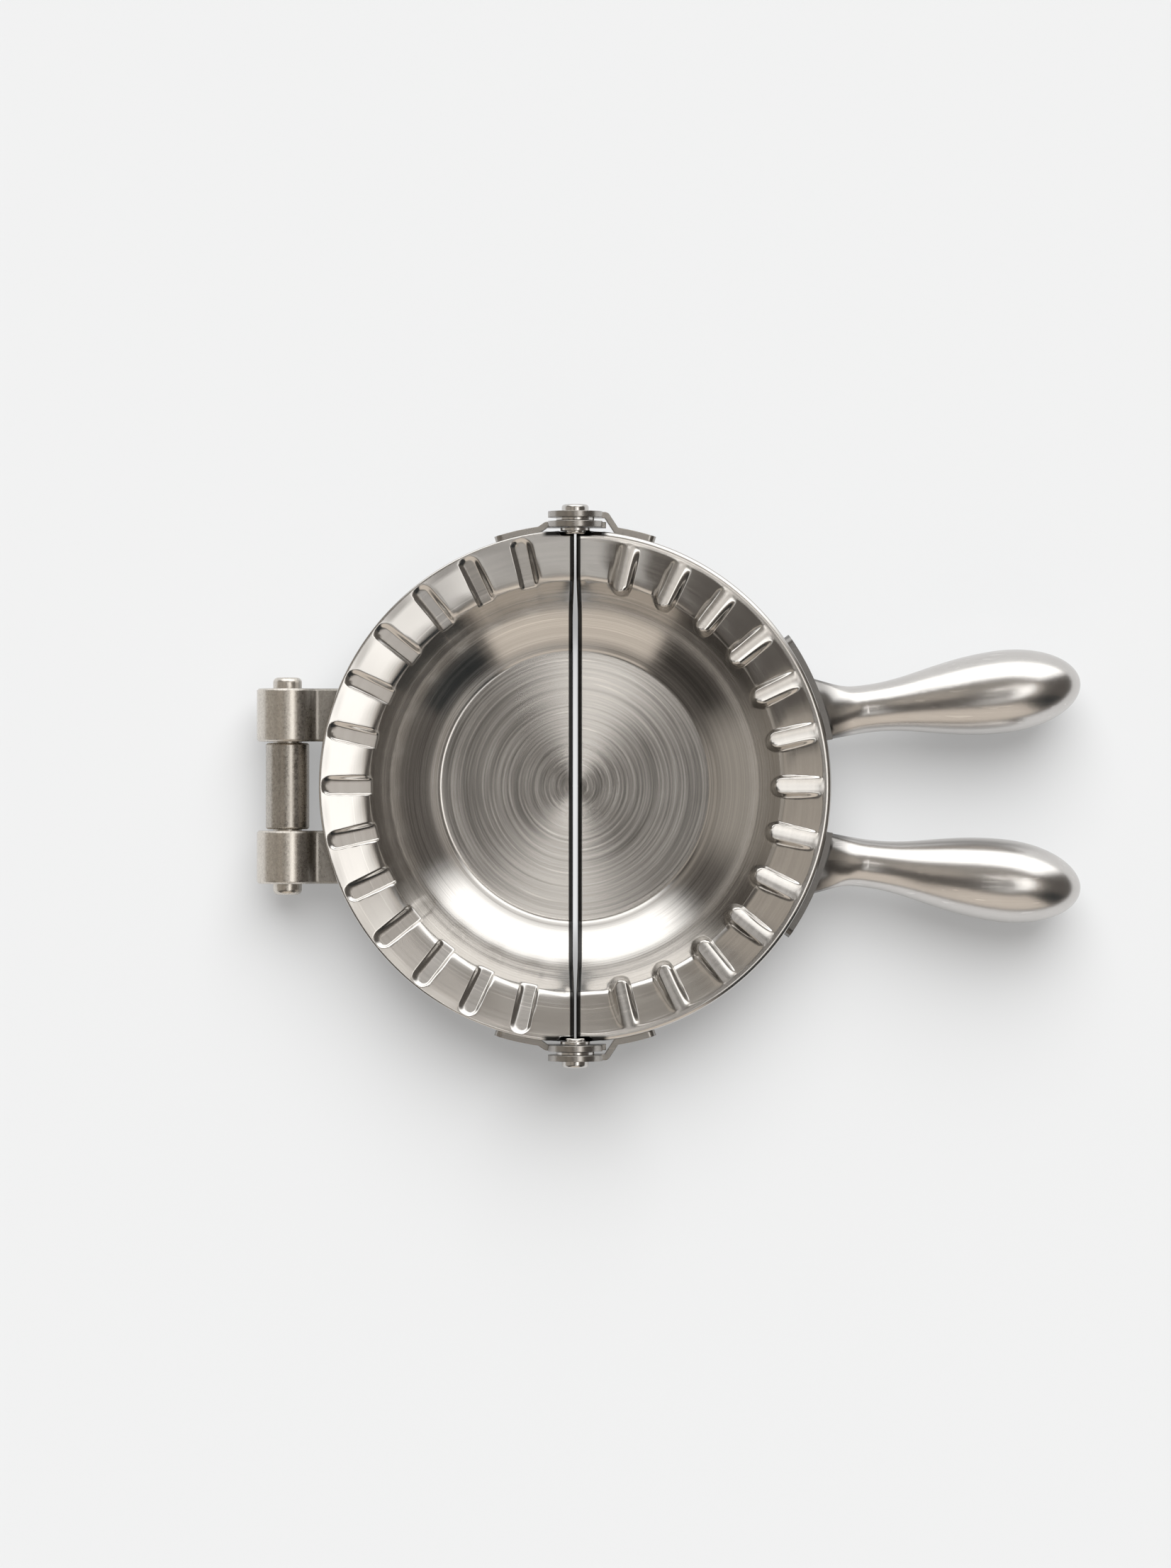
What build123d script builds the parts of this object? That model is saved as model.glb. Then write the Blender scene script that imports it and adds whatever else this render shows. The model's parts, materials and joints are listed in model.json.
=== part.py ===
from build123d import *
import os
from math import cos, radians, sin, tan

# A stainless dumpling press, lying open and flat: two half bowls with a fluted crimping
# rim, hinged together at both ends of the seam, a pull bar on the left half and two
# grips on the right half. Millimetres, +X towards the grips, +Y along the seam, +Z up.
# The origin is the middle of the dish, on the seam, at the height of the table.

# Dish
sheet = 0.9
rim_radius = 55.0
rim_height = 17.0
rim_edge_round = 1.2
skirt_height = 6.5
bottom_radius = 28.9
bottom_step = 0.3
step_width = 0.5
rim_width = 10.4
mouth_round = 1.5
wall_start_slope = 14.0
panel_tilt = 12.0
seam_gap = 1.1

# Flutes of the crimping rim
flute_count = 13
flute_width = 3.5
flute_inner_lead = 1.2
flute_outer_margin = 1.1
rib_tilt = 5.0
rib_rise = 0.2
rib_edge_round = 0.6
groove_tilt = 24.0
groove_depth = 0.15
groove_reach = 5.0

# Pivots at both ends of the seam
closing_gap = 1.2
pivot_flat_depth = 1.3
pivot_flat_half_width = 6.3
rivet_radius = 1.6
rivet_play = 0.06
rivet_head_radius = 2.9
rivet_head_height = 1.5
rivet_head_round = 0.7
peen_radius = 2.2
peen_height = 0.7
peen_round = 0.5
peen_clearance = 0.35
rove_radius = 3.2
rove_thickness = 0.6
spacer_radius = 4.1
spacer_thickness = 0.65
ear_play = 0.15
ear_radius = 5.85
strap_thickness = 1.3
strap_low = 11.4
strap_high = 15.6
strap_end_angle = 18.0
strap_end_round = 1.6
left_bend_angle = 7.8
left_bend_reach = 6.0
right_bend_angle = 8.8
right_bend_reach = 6.3
heel_height = 2.4
heel_clearance = 0.2

# Pull bar of the left half
bar_stand_off = 7.0
bar_height = 10.5
bar_pin_radius = 3.1
bar_pin_stand_out = 2.4
bar_pin_end_round = 1.1
lug_radius = 6.6
lug_width = 11.4
lug_edge_round = 0.4
leaf_thickness = 2.4
leaf_rise = 1.9
leaf_round = 2.0
roller_radius = 4.7
roller_length = 18.6
roller_play = 0.05
roller_end_gap = 0.3
roller_chamfer = 0.4

# Handles of the right half
handle_height = 11.5
handle_splay = 7.2
neck_stand_off = 8.0
neck_y = 16.7
neck_radius = 5.15
grip_swell_length = 13.2
grip_swell_radius = 6.95
grip_full_length = 29.3
grip_full_radius = 8.9
grip_length = 46.1
grip_wall = 1.2
spigot_radius = 3.5
spigot_length = 12.0
spigot_chamfer = 0.5
saddle_thickness = 1.2
saddle_low = 10.9
saddle_high = 15.6
saddle_start_angle = 10.3
saddle_end_angle = 35.4
saddle_end_round = 2.0
root_height = 12.8
root_depth = 5.5
root_y = 16.4
root_half_width = 7.2
root_half_thickness = 2.5
root_waist_stand_off = 3.6
root_waist_y = 16.15
root_lead = 1.6
root_waist_half_width = 5.35
root_waist_half_thickness = 4.5

# Heights and places that follow from the sizes above. The working height is that of the
# folded press, and cuts that run out at the top reach up to it.
pivot_height = rim_height + closing_gap / 2
skirt_low = rim_height - skirt_height
mouth_radius = rim_radius - rim_width
flute_inner_radius = mouth_radius - flute_inner_lead
flute_outer_radius = rim_radius - flute_outer_margin
flute_pitch = 180.0 / (flute_count + 1)
panel_slope = tan(radians(panel_tilt))
pivot_flat = rim_radius - pivot_flat_depth
peen_low = pivot_flat + peen_clearance
rove_low = peen_low + peen_height
left_ear_low = rove_low + rove_thickness + ear_play
spacer_low = left_ear_low + strap_thickness + ear_play
right_ear_low = spacer_low + spacer_thickness
rivet_head_low = right_ear_low + strap_thickness
bar_offset = rim_radius + bar_stand_off
lug_low = roller_length / 2 + roller_end_gap
lug_high = lug_low + lug_width
neck_x = rim_radius + neck_stand_off
root_x = rim_radius - root_depth
root_waist_x = rim_radius + root_waist_stand_off
working_height = 2 * pivot_height

os.makedirs("parts", exist_ok=True)


def publish(builder, name):
    """Names a finished sub-part and writes it as one STEP file."""
    builder.part.label = name
    export_step(builder.part, f"parts/{name}.step")


def publish_pair(builder, name):
    """Writes the piece at the upper end of the object and its mirror image at the lower end."""
    publish(builder, f"upper_{name}")
    with BuildPart() as twin:
        mirror(builder.part, about=Plane.XZ)
    publish(twin, f"lower_{name}")


def panel_height(radius):
    """Height of the sloping crimp panels at a distance from the dish's centre."""
    return rim_height - (rim_radius - radius) * panel_slope


def on_skirt(angle):
    """Point of the skirt's outer face at an angle from the seam's upper end, towards +X."""
    return (rim_radius * sin(radians(angle)), rim_radius * cos(radians(angle)))


# Section of one pressed bowl: the upper face runs from the middle of the bottom up the
# wall, over the crimp panels and down the outside of the skirt
bottom_edge = (bottom_radius, sheet)
wall_foot = (bottom_radius + step_width, sheet + bottom_step)
wall_foot_direction = (cos(radians(wall_start_slope)), sin(radians(wall_start_slope)))
mouth = (mouth_radius, panel_height(mouth_radius))
rim_edge = (rim_radius, rim_height)

with BuildSketch() as bowl_section:
    with BuildLine() as upper_face:
        Line((0, sheet), bottom_edge)
        Line(bottom_edge, wall_foot)
        TangentArc(wall_foot, mouth, tangent=wall_foot_direction)
        Line(mouth, rim_edge)
        Line(rim_edge, (rim_radius, skirt_low))
        fillet(upper_face.vertices().sort_by_distance(mouth)[0], radius=mouth_round)
        fillet(upper_face.vertices().sort_by_distance(rim_edge)[0], radius=rim_edge_round)
        offset(amount=-sheet, side=Side.RIGHT)
    make_face()

# Section of the room above the upper face, which shapes the feet of ribs and grooves
with BuildSketch() as dish_room:
    with BuildLine():
        Line((0, sheet), bottom_edge)
        Line(bottom_edge, wall_foot)
        TangentArc(wall_foot, mouth, tangent=wall_foot_direction)
        Polyline(mouth, rim_edge, (rim_radius, working_height), (0, working_height), (0, sheet))
    make_face()

# Half bowl without its flutes, on the +X side of the seam: half a turn of the section,
# cut back along the seam. Its rim is cut flat at both ends of the seam, which makes room
# for the pivots.
with BuildPart() as half_bowl:
    with BuildSketch(Plane.YZ):
        add(bowl_section.sketch)
    revolve(axis=Axis((0, 0, 0), (0, 0, -1)), revolution_arc=180)
    with BuildSketch():
        Rectangle(seam_gap, 2 * rim_radius)
        for end in (1, -1):
            with Locations((0, end * (pivot_flat + rim_radius / 2))):
                Rectangle(2 * pivot_flat_half_width, rim_radius)
    extrude(amount=working_height, mode=Mode.SUBTRACT)


def flute_bars(width, inner_radius, outer_radius):
    """Upright bars with round ends, one for each flute of the +X half, between two radii."""
    middle = (inner_radius + outer_radius) / 2
    with BuildPart() as bars:
        with BuildSketch():
            for flute in range(1, flute_count + 1):
                with PolarLocations(middle, 1, start_angle=flute * flute_pitch - 90):
                    SlotOverall(outer_radius - inner_radius, width)
        extrude(amount=working_height)
    return bars.part


def cone_height(radius, edge_height, tilt):
    """Height of a cone that passes the flutes' outer ends and falls outwards by its tilt."""
    return edge_height + (flute_outer_radius - radius) * tan(radians(tilt))


# Right half bowl: raised ribs, whose crests rise a little towards the middle of the dish
crest_height = panel_height(flute_outer_radius) + rib_rise

with BuildPart() as ribs:
    with BuildSketch(Plane.XZ):
        with Locations((0, -sheet / 2)):
            add(dish_room.sketch)
        with BuildLine():
            Polyline(
                (0, cone_height(0, crest_height, rib_tilt)),
                (rim_radius, cone_height(rim_radius, crest_height, rib_tilt)),
                (rim_radius, working_height),
                (0, working_height),
                close=True,
            )
        make_face(mode=Mode.SUBTRACT)
    revolve(axis=Axis.Z)
    add(flute_bars(flute_width, flute_inner_radius, flute_outer_radius), mode=Mode.INTERSECT)
    crests = ribs.faces().sort_by(Axis.Z)[-flute_count:]
    fillet(crests.edges(), radius=rib_edge_round)

with BuildPart() as right_bowl:
    add(half_bowl.part)
    add(ribs.part)
publish(right_bowl, "right_bowl")

# Left half bowl: grooves whose floors fall more steeply than the panels. The sheet is
# pressed down under each groove, so that its wall stays as thick there.
floor_height = panel_height(flute_outer_radius) - groove_depth

with BuildPart() as groove_backs:
    with BuildSketch(Plane.XZ):
        with BuildLine():
            Polyline(
                (mouth_radius - groove_reach, 0),
                (rim_radius - sheet / 2, 0),
                (rim_radius - sheet / 2, rim_height),
                (mouth_radius - groove_reach, rim_height),
                close=True,
            )
        make_face()
        with Locations((0, -sheet / 2)):
            add(dish_room.sketch, mode=Mode.SUBTRACT)
        with BuildLine():
            Polyline(
                (0, cone_height(0, floor_height, -groove_tilt) - sheet),
                (rim_radius, cone_height(rim_radius, floor_height, -groove_tilt) - sheet),
                (rim_radius, -working_height),
                (0, -working_height),
                close=True,
            )
        make_face(mode=Mode.SUBTRACT)
    revolve(axis=Axis.Z)
    back_bars = flute_bars(
        flute_width + 2 * sheet, mouth_radius - groove_reach - sheet, flute_outer_radius + sheet
    )
    add(back_bars, mode=Mode.INTERSECT)

with BuildPart() as groove_channels:
    with BuildSketch(Plane.XZ):
        with BuildLine():
            Polyline(
                (0, cone_height(0, floor_height, -groove_tilt)),
                (rim_radius, cone_height(rim_radius, floor_height, -groove_tilt)),
                (rim_radius, working_height),
                (0, working_height),
                close=True,
            )
        make_face()
    revolve(axis=Axis.Z)
    channel_bars = flute_bars(flute_width, mouth_radius - groove_reach, flute_outer_radius)
    add(channel_bars, mode=Mode.INTERSECT)

with BuildPart() as grooved_bowl:
    add(half_bowl.part)
    add(groove_backs.part)
    add(groove_channels.part, mode=Mode.SUBTRACT)

with BuildPart() as left_bowl:
    mirror(grooved_bowl.part, about=Plane.YZ)
publish(left_bowl, "left_bowl")


def hinge_strap(ear_low, bend_angle, bend_reach):
    """Strap on the outside of the +X half's skirt that ends in a pierced ear at the upper pivot."""
    with BuildPart() as strap:
        with BuildSketch(Plane.XY.offset(strap_low)):
            with BuildLine():
                ear_run = Line((0, ear_low), (bend_reach, ear_low))
                Line(ear_run @ 1, on_skirt(bend_angle))
                CenterArc((0, 0), rim_radius, 90 - bend_angle, bend_angle - strap_end_angle)
                offset(amount=-strap_thickness, side=Side.LEFT)
            make_face()
        extrude(amount=strap_high - strap_low)
        tail_end = strap.edges().sort_by(Axis.X)[-4:].filter_by(Axis.Z, reverse=True)
        fillet(tail_end, radius=strap_end_round)
        with BuildSketch(Plane.XZ.offset(-ear_low)):
            with Locations((0, pivot_height)):
                Circle(ear_radius)
                Circle(rivet_radius + rivet_play, mode=Mode.SUBTRACT)
        extrude(amount=-strap_thickness)
    return strap


# Straps of the right half: their ears are the outer ones
right_strap = hinge_strap(right_ear_low, right_bend_angle, right_bend_reach)
publish_pair(right_strap, "right_hinge_strap")

# Straps of the left half: each inner ear has a heel under the pivot, which comes up
# against the bend of the right strap and stops the press from opening past flat
bend_foot_x, bend_foot_y = on_skirt(right_bend_angle)
bend_share = (right_ear_low - left_ear_low - strap_thickness) / (right_ear_low - bend_foot_y)
heel_reach = right_bend_reach + bend_share * (bend_foot_x - right_bend_reach) - heel_clearance

with BuildPart() as left_strap:
    mirror(hinge_strap(left_ear_low, left_bend_angle, left_bend_reach).part, about=Plane.YZ)
    with BuildSketch(Plane.XZ.offset(-left_ear_low)):
        with Locations((0, strap_low)):
            Rectangle(heel_reach, heel_height, align=(Align.MIN, Align.MIN))
    extrude(amount=-strap_thickness)
publish_pair(left_strap, "left_hinge_strap")

# Pivot rivet: head outside the ears, shank through both, and its end peened over a rove
pivot_plane = Plane(origin=(0, 0, pivot_height), x_dir=(0, 1, 0), z_dir=(1, 0, 0))
rivet_top = rivet_head_low + rivet_head_height

with BuildPart() as rivet:
    with BuildSketch(pivot_plane) as rivet_section:
        with BuildLine():
            Polyline(
                (peen_low, 0),
                (peen_low, peen_radius),
                (rove_low, peen_radius),
                (rove_low, rivet_radius),
                (rivet_head_low, rivet_radius),
                (rivet_head_low, rivet_head_radius),
                (rivet_top, rivet_head_radius),
                (rivet_top, 0),
                close=True,
            )
        make_face()
    revolve(axis=Axis((0, 0, pivot_height), (0, 1, 0)))
    fillet(rivet.edges().sort_by(Axis.Y)[-1], radius=rivet_head_round)
    fillet(rivet.edges().sort_by(Axis.Y)[0], radius=peen_round)
publish_pair(rivet, "pivot_rivet")


def pivot_ring(low, thickness, radius):
    """Flat ring on the rivet's shank."""
    with BuildPart() as ring:
        with BuildSketch(Plane.XZ.offset(-low)):
            with Locations((0, pivot_height)):
                Circle(radius)
                Circle(rivet_radius + rivet_play, mode=Mode.SUBTRACT)
        extrude(amount=-thickness)
    return ring


publish_pair(pivot_ring(spacer_low, spacer_thickness, spacer_radius), "pivot_spacer")
publish_pair(pivot_ring(rove_low, rove_thickness, rove_radius), "pivot_rove")

# Lugs of the pull bar: an eye on the bar's pin, and a leaf that runs in to the left skirt
with BuildPart() as bar_lug:
    with BuildSketch(Plane.XZ.offset(-lug_low)) as lug_section:
        with Locations((-bar_offset, bar_height + leaf_rise)):
            Rectangle(bar_offset, leaf_thickness, align=(Align.MIN, Align.CENTER))
        with Locations((-bar_offset, bar_height)):
            Circle(lug_radius)
        creases = lug_section.vertices().group_by(Axis.X)[0]
        fillet(creases, radius=leaf_round)
        with Locations((-bar_offset, bar_height)):
            Circle(bar_pin_radius, mode=Mode.SUBTRACT)
    extrude(amount=-lug_width)
    eye_edges = bar_lug.edges().filter_by(GeomType.CIRCLE).filter_by(
        lambda edge: abs(edge.radius - lug_radius) < leaf_round
    )
    chamfer(eye_edges, length=lug_edge_round)
    with BuildSketch():
        Circle(rim_radius)
    extrude(amount=working_height, mode=Mode.SUBTRACT)
publish_pair(bar_lug, "bar_lug")

# Pin of the pull bar, tight in both lugs, and the roller that turns on it between them
bar_axis_plane = Plane(origin=(-bar_offset, 0, bar_height), x_dir=(1, 0, 0), z_dir=(0, 1, 0))

with BuildPart() as bar_pin:
    with BuildSketch(bar_axis_plane):
        Circle(bar_pin_radius)
    extrude(amount=lug_high + bar_pin_stand_out, both=True)
    fillet(bar_pin.edges().filter_by(GeomType.CIRCLE), radius=bar_pin_end_round)
publish(bar_pin, "bar_pin")

with BuildPart() as bar_roller:
    with BuildSketch(bar_axis_plane):
        Circle(roller_radius)
    extrude(amount=roller_length / 2, both=True)
    chamfer(bar_roller.edges().filter_by(GeomType.CIRCLE), length=roller_chamfer)
    with BuildSketch(bar_axis_plane):
        Circle(bar_pin_radius + roller_play)
    extrude(amount=roller_length, both=True, mode=Mode.SUBTRACT)
publish(bar_roller, "bar_roller")

# Grips: hollow bodies of revolution about an axis that splays outwards from the neck
splay_direction = (cos(radians(handle_splay)), sin(radians(handle_splay)), 0)
neck_point = (neck_x, neck_y, handle_height)
grip_plane = Plane(origin=neck_point, x_dir=splay_direction, z_dir=(0, 0, 1))
neck_plane = Plane(origin=neck_point, x_dir=(0, 0, 1), z_dir=splay_direction)


def grip_outline(inset):
    """Closed half outline of a grip, along its axis, a wall's thickness inside its surface."""
    with BuildSketch() as outline:
        with BuildLine():
            Line((0, 0), (0, neck_radius - inset))
            Spline(
                (0, neck_radius - inset),
                (grip_swell_length, grip_swell_radius - inset),
                (grip_full_length, grip_full_radius - inset),
                tangents=((1, 0), (1, 0)),
            )
            EllipticalCenterArc(
                (grip_full_length, 0),
                grip_length - grip_full_length - inset,
                grip_full_radius - inset,
                start_angle=0,
                arc_size=90,
            )
            Line((grip_length - inset, 0), (0, 0))
        make_face()
    return outline.sketch


with BuildPart() as handle_grip:
    with BuildSketch(grip_plane):
        add(grip_outline(0))
        add(grip_outline(grip_wall), mode=Mode.SUBTRACT)
        with BuildLine():
            Polyline(
                (0, spigot_radius),
                (spigot_length, spigot_radius),
                (spigot_length, grip_swell_radius - grip_wall),
                (0, neck_radius - grip_wall),
                close=True,
            )
        make_face()
    revolve(axis=Axis(neck_point, splay_direction))
publish_pair(handle_grip, "handle_grip")

# Saddles: a curved plate on the right skirt, a root that narrows from it to the neck, and
# a spigot that the grip is pressed on
with BuildPart() as handle_saddle:
    with BuildSketch(Plane.XY.offset(saddle_low)):
        saddle_arc = saddle_end_angle - saddle_start_angle
        with BuildLine():
            inner = CenterArc((0, 0), rim_radius, saddle_start_angle, saddle_arc)
            outer = CenterArc((0, 0), rim_radius + saddle_thickness, saddle_start_angle, saddle_arc)
            Line(inner @ 0, outer @ 0)
            Line(inner @ 1, outer @ 1)
        make_face()
    extrude(amount=saddle_high - saddle_low)
    plate_end = handle_saddle.edges().sort_by(Axis.Y)[-4:].filter_by(Axis.Z, reverse=True)
    fillet(plate_end, radius=saddle_end_round)
    with BuildSketch(neck_plane):
        Circle(neck_radius)
    with BuildSketch(neck_plane.offset(-root_lead)):
        Circle(neck_radius)
    with BuildSketch(Plane.YZ.offset(root_waist_x)):
        with Locations((root_waist_y, handle_height)):
            Ellipse(root_waist_half_width, root_waist_half_thickness)
    with BuildSketch(Plane.YZ.offset(root_x)):
        with Locations((root_y, root_height)):
            Ellipse(root_half_width, root_half_thickness)
    loft()
    with BuildSketch():
        Circle(rim_radius)
    extrude(amount=working_height, mode=Mode.SUBTRACT)
    with BuildSketch(neck_plane):
        Circle(spigot_radius)
    extrude(amount=spigot_length)
    chamfer(handle_saddle.edges().sort_by(Axis.X)[-1], length=spigot_chamfer)
publish_pair(handle_saddle, "handle_saddle")
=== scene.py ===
# %% [markdown]
# # A stainless dumpling press, dressed for the camera
#
# The press lies open and flat: two fluted half bowls hinged at both ends of the seam, a pull
# bar with a roller on the left half, and two teardrop grips on the right half. Its packed
# solids come in first as a fixed frame. Most of them only need a good steel finish. The two
# half bowls are pressed from sheet, with soft shoulders that solids don't show, so they get
# pieces of their own here, in the same place and at the same size.

# %% Frame
import json
import math

import bpy
import numpy as np
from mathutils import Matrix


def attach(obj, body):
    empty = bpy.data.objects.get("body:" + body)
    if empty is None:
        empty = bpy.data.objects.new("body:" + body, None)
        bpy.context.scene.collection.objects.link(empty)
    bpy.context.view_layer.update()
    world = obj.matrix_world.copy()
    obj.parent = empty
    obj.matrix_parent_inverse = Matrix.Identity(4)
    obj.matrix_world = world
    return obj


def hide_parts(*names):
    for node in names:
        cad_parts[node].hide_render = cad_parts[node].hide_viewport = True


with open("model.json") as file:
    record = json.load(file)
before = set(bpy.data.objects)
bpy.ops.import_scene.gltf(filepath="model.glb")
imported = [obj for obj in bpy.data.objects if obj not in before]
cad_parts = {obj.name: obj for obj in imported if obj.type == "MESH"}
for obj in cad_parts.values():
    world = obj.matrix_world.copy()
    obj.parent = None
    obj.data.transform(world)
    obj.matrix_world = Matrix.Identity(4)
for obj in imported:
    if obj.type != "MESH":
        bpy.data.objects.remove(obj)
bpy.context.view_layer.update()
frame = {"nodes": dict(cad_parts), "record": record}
record = frame["record"]

# %% [markdown]
# ## Real sizes
#
# Blender works in metres and a press is easier to think about in millimetres, so every size
# is written in millimetres and multiplied by one constant where a mesh is made. The sizes in
# this cell are used all over the script, and the solids were made with the same ones. A size
# that shapes one form alone stands in the cell that makes the form. Some of those forms, such
# as the scallop of the mouth and the crown of the panels, are a few tenths of a millimetre
# high and exist only here, because a solid would gain many faces from them and little else.

# %% Shared sizes
MM = 0.001

SHEET = 0.9
RIM_RADIUS = 55.0
RIM_HEIGHT = 17.0
PANEL_SLOPE = math.radians(12.0)
FLUTE_COUNT = 13
FLUTE_PITCH = math.pi / (FLUTE_COUNT + 1)

print("dish", 2 * RIM_RADIUS, "mm across, flutes in each half", FLUTE_COUNT)

# %% [markdown]
# ## The section of a pressed bowl
#
# A press tool stretches one flat disc, so the sheet has nearly the same thickness all over
# and its height is a plain function of the place above the table: a flat bottom, a shallow
# step, the arc of the wall, a lip and a sloping crimp panel. A turned profile would be the
# usual way to a bowl, but it can't hold flutes. So each stretch of the section is a line or
# an arc that is easy to write on its own, and a soft minimum joins them. How soft it is sets
# whether a join reads as a crease or as a roll. The lower face is the same function, some
# depth below.

# %% Height of the bottom and the wall
BOTTOM_RADIUS = 28.9
BOTTOM_STEP = 0.3
STEP_WIDTH = 1.0
WALL_TOP = 44.2
WALL_START_SLOPE = math.radians(17.5)
WALL_END_RISE = 1.6


def panel_height(radius):
    """Height of the sloping crimp panels."""
    return RIM_HEIGHT - (RIM_RADIUS - radius) * math.tan(PANEL_SLOPE)


def arc_between(start, end, start_slope):
    """Centre and radius of the arc that leaves the start at a slope."""
    chord = np.array(end) - np.array(start)
    half_turn = math.atan2(chord[1], chord[0]) - start_slope
    radius = np.linalg.norm(chord) / (2 * math.sin(half_turn))
    centre = np.array(start) + radius * np.array((-math.sin(start_slope), math.cos(start_slope)))
    return centre, radius


def smooth_step(value):
    """0 below 0, 1 above 1 and an S curve between."""
    value = np.clip(value, 0.0, 1.0)
    return value * value * (3 - 2 * value)


foot = (BOTTOM_RADIUS + STEP_WIDTH, SHEET + BOTTOM_STEP)
wall_centre, wall_radius = arc_between(foot, (WALL_TOP, panel_height(WALL_TOP)), WALL_START_SLOPE)


def wall_height(radius, depth):
    """Height of the flat bottom, its step and the wall's arc, which ends in a straight line."""
    reach = np.clip(radius, wall_centre[0], WALL_TOP) - wall_centre[0]
    arc = wall_centre[1] - np.sqrt((wall_radius + depth) ** 2 - reach**2)
    arc = arc + WALL_END_RISE * np.maximum(radius - WALL_TOP, 0.0)
    share = smooth_step((radius - BOTTOM_RADIUS) / STEP_WIDTH)
    return (1 - share) * (SHEET - depth) + share * arc


print("wall arc", np.round(wall_centre, 2), round(float(wall_radius), 2))

# %% [markdown]
# ## A swirl round the rim
#
# The press's flutes aren't symmetric. Going round the dish against the clock, the mouth edge
# moves outwards along each panel and then comes back at the next flute, and each flute has a
# wide soft shoulder on the side that it is reached from and a crisp one on the far side. That
# is what a fluted die leaves when it turns a little in the press. Bending a plain ring with a
# modifier would swing both shoulders alike, so one number, the share of the way from one
# flute to the next, drives both edge and shoulders instead.

# %% Scalloped mouth
SCALLOP = {1: (43.2, 44.9), -1: (43.8, 45.1)}
SCALLOP_RISE_START = 0.04
SCALLOP_RISE_LENGTH = 0.84
SCALLOP_RISE_POWER = 0.8
SCALLOP_FALL_END = 0.98
SCALLOP_FALL_LENGTH = 0.2


def swirl_share(angle, side):
    """Share of the way from one flute to the next, against the clock as seen from above."""
    return np.mod(side * angle / FLUTE_PITCH, 1.0)


def mouth_edge(angle, side):
    """Radius of the crease where the lip meets the crimp panel."""
    share = swirl_share(angle, side)
    rise = smooth_step((share - SCALLOP_RISE_START) / SCALLOP_RISE_LENGTH) ** SCALLOP_RISE_POWER
    fall = smooth_step((SCALLOP_FALL_END - share) / SCALLOP_FALL_LENGTH)
    inner, outer = SCALLOP[side]
    return inner + (outer - inner) * np.minimum(rise, fall)


print("mouth edge, right half", SCALLOP[1], "left half", SCALLOP[-1])

# %% [markdown]
# Between the wall and the panels, a short steep lip catches the light as a thin line round
# the dish. The panels themselves are slightly arched from flute to flute, which turns an
# even grey into a soft change of tone, as pressed sheet shows it. Both could be left to a
# bump texture, but they bend real reflections and belong in the shape. They follow the same
# share of the way, so they stay in step with the scallop.

# %% Height of the sheet without its flutes
LIP_SLOPE = math.radians(38.0)
LIP_REACH = 4.0
LIP_SOFTNESS = 0.08
WALL_SOFTNESS = 1.0
PANEL_CROWN = {1: -0.2, -1: 0.1}
CROWN_RUN_IN = 4.0
CROWN_RUN_OUT = 2.5


def soft_minimum(first, second, softness):
    """The smaller of two heights, with a round join."""
    gap = first - second
    return 0.5 * (first + second - np.sqrt(gap * gap + softness * softness)) + softness / 4


def panel_crown(radius, angle, side):
    """How far a panel is arched between two flutes."""
    share = swirl_share(angle, side)
    crown = PANEL_CROWN[side] * (1 - (2 * share - 1) ** 2)
    crown = crown * smooth_step((radius - mouth_edge(angle, side)) / CROWN_RUN_IN)
    return crown * smooth_step((RIM_RADIUS - radius) / CROWN_RUN_OUT)


def plain_height(radius, angle, side, depth):
    """Height of bottom, wall, lip and crimp panels."""
    edge = mouth_edge(angle, side)
    panel = panel_height(radius) - depth / math.cos(PANEL_SLOPE)
    inwards = np.minimum(edge - radius, LIP_REACH)
    lip = panel_height(edge) - inwards * math.tan(LIP_SLOPE) - depth / math.cos(LIP_SLOPE)
    top = soft_minimum(panel + panel_crown(radius, angle, side), lip, LIP_SOFTNESS)
    wall = wall_height(radius, depth)
    return np.where(radius < WALL_TOP - LIP_REACH, wall, soft_minimum(top, wall, WALL_SOFTNESS))


print("panel height at the mouth", round(panel_height(SCALLOP[1][0]), 2))

# %% [markdown]
# ## Ribs, grooves and the rim's ring
#
# The rim of the right half has raised ribs and the rim of the left half has grooves, so that
# they nest and crimp the dough between them. Both are a bar with round ends in plan. A
# weight that is 1 inside the bar and falls to 0 across its shoulder blends the panel's
# height towards the rib's crest or the groove's floor. On the right half the ribs run into a
# narrow ring along the rim, which leaves the panels between them as pockets with round
# corners. A boolean cut can't give such soft shapes, and a height function gives them at
# once.

# %% Plan of a flute
FLUTE_HALF_WIDTH = {1: 1.95, -1: 1.75}
FLUTE_OUTER = 53.9
CRISP_SHOULDER = {1: 0.5, -1: 0.42}
SOFT_SHOULDER = {1: 1.2, -1: 1.3}


def flute_place(radius, angle):
    """Distances along and across the nearest flute."""
    nearest = np.clip(np.round(angle / FLUTE_PITCH), -(FLUTE_COUNT // 2), FLUTE_COUNT // 2)
    turn = angle - nearest * FLUTE_PITCH
    return radius * np.cos(turn), radius * np.sin(turn)


def bar_weight(along, across, side, half_width, inner, outer):
    """1 inside a bar with round ends, 0 outside, softer on one flank than on the other."""
    beyond = along - np.clip(along, inner + half_width, outer - half_width)
    distance = np.hypot(beyond, across)
    flank = smooth_step(0.5 - side * across / (2 * half_width))
    shoulder = CRISP_SHOULDER[side] + (SOFT_SHOULDER[side] - CRISP_SHOULDER[side]) * flank
    return 1 - smooth_step((distance - half_width) / shoulder + 0.5)


def positive_part(value, softness=0.15):
    """The value where it is above 0, with a soft bend at 0."""
    return 0.5 * (value + np.sqrt(value * value + softness * softness)) - softness / 2


print("flute widths", 2 * FLUTE_HALF_WIDTH[1], 2 * FLUTE_HALF_WIDTH[-1])

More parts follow.
